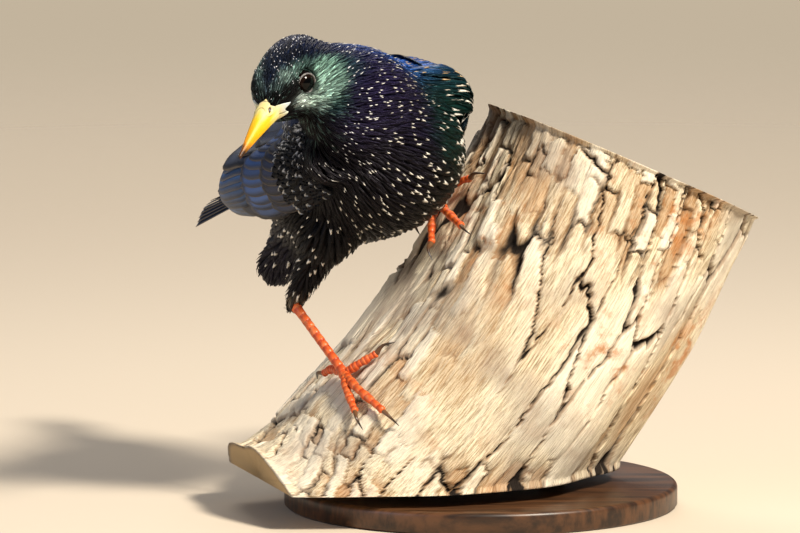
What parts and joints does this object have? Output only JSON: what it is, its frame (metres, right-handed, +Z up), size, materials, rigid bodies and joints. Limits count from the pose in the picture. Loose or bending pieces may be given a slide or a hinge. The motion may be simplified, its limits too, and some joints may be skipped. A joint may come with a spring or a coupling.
{
  "type": "starling on a perch",
  "caption": "Life-size starling that clings to a short cut length of a leaning dead limb, head turned down to its right, on a low round display stand.",
  "frame": {"origin": "centre of the underside of the stand's round base", "axes": "+Z up. The bird's body faces -Y and +X, its head is turned towards -X and down, and the limb leans up towards +X."},
  "size_m": [0.1734, 0.1728, 0.1489],
  "materials": {
    "plumage": "black body feathers with a purple, green and blue gloss and small pale spots",
    "flight_feather": "blue-grey wing and tail feathers with narrow buff edges",
    "bill_horn": "smooth yellow horn, pale at the base and dark at the tip",
    "eye": "polished very dark brown",
    "leg_skin": "reddish orange scaled skin",
    "claw_horn": "dark horn",
    "old_wood": "bare weathered limb, pale and cracked along the grain",
    "stand_wood": "dark satin wood",
    "stand_steel": "brushed steel rod"
  },
  "bodies": {
    "root": {"head": "plumage", "neck": "plumage", "torso": "plumage", "thigh_left": "plumage", "thigh_right": "plumage", "tail": "flight_feather", "wing_left": "flight_feather", "wing_right": "flight_feather", "bill_upper": "bill_horn", "bill_lower": "bill_horn", "eye_left": "eye", "eye_right": "eye", "shank_left": "leg_skin", "shank_right": "leg_skin", "foot_left": "leg_skin", "foot_right": "leg_skin", "claw_left_inner": "claw_horn", "claw_left_middle": "claw_horn", "claw_left_outer": "claw_horn", "claw_left_hind": "claw_horn", "claw_right_inner": "claw_horn", "claw_right_middle": "claw_horn", "claw_right_outer": "claw_horn", "claw_right_hind": "claw_horn", "perch": "old_wood", "stand_base": "stand_wood", "stand_rod_1": "stand_steel", "stand_rod_2": "stand_steel"}
  },
  "joints": []
}
